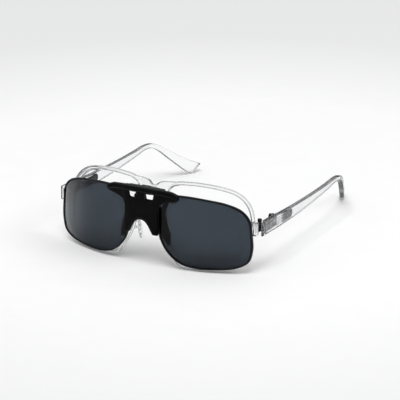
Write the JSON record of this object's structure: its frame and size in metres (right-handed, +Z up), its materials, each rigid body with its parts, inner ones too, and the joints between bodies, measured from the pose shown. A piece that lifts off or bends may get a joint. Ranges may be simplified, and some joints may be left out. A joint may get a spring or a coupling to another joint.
{
  "type": "spectacles with flip-up sunglass clip",
  "caption": "Clear plastic spectacles with folding temples and a black spring-clamped sunglass clip whose dark lenses flip up on a hinge over the nose bridge.",
  "frame": {"origin": "on the table, under the middle of the box round the open glasses", "axes": "-Y is the way the wearer looks, +X the wearer's left, +Z up; the temples run along +Y"},
  "size_m": [0.141, 0.1738, 0.0513],
  "materials": {
    "clear_plastic": "polished clear moulded plastic",
    "clear_lens": "clear coated plastic lens",
    "pad_silicone": "clear soft silicone",
    "grey_metal": "dull grey nickel plate",
    "black_screw": "black plated steel",
    "black_wire": "satin black lacquered metal rim",
    "smoke_lens": "smoke grey polarised sheet",
    "black_plastic": "satin black moulded plastic",
    "spring_steel": "bright drawn steel",
    "soft_vinyl": "matt black soft vinyl"
  },
  "bodies": {
    "frame": {"front_frame": "clear_plastic", "clear_lens_left": "clear_lens", "clear_lens_right": "clear_lens", "nose_pad_left": "pad_silicone", "nose_pad_right": "pad_silicone", "hinge_front_leaf_left": "black_screw", "hinge_front_leaf_right": "black_screw", "hinge_screw_left": "black_screw", "hinge_screw_right": "black_screw", "prong_pad_left": "soft_vinyl", "prong_pad_right": "soft_vinyl", "clamp_base": "black_plastic", "flip_pin": "spring_steel", "jaw_pin": "spring_steel", "jaw_spring": "spring_steel"},
    "temple_left": {"temple_left": "clear_plastic", "hinge_temple_leaf_left": "grey_metal", "hinge_plate_screw_left": "black_screw", "temple_core_plate_left": "grey_metal"},
    "temple_right": {"temple_right": "clear_plastic", "hinge_temple_leaf_right": "grey_metal", "hinge_plate_screw_right": "black_screw", "temple_core_plate_right": "grey_metal"},
    "clip": {"clip_bridge": "black_plastic", "sun_rim_left": "black_wire", "sun_rim_right": "black_wire", "sun_lens_left": "smoke_lens", "sun_lens_right": "smoke_lens", "lens_rivet_left_1": "black_screw", "lens_rivet_left_2": "black_screw", "lens_rivet_right_1": "black_screw", "lens_rivet_right_2": "black_screw"},
    "jaw": {"clamp_jaw": "black_plastic", "prong_sleeve_left": "soft_vinyl", "prong_sleeve_right": "soft_vinyl"}
  },
  "joints": [
    {"name": "temple_fold_left", "type": "hinge", "parent": "frame", "child": "temple_left", "pos_m": [0.0659, -0.05875, 0.02797], "axis": [0, 0, 1], "range_deg": [0, 88]},
    {"name": "temple_fold_right", "type": "hinge", "parent": "frame", "child": "temple_right", "pos_m": [-0.0659, -0.05875, 0.02797], "axis": [0, 0, -1], "range_deg": [0, 75]},
    {"name": "clip_flip", "type": "hinge", "parent": "frame", "child": "clip", "pos_m": [0, -0.0817, 0.04797], "axis": [-1, 0, 0], "range_deg": [0, 95]},
    {"name": "jaw_open", "type": "hinge", "parent": "frame", "child": "jaw", "pos_m": [0, -0.07525, 0.04377], "axis": [1, 0, 0], "range_deg": [0, 6], "stiffness_Nm_per_rad": 0.15, "springref_deg": -5.73}
  ]
}
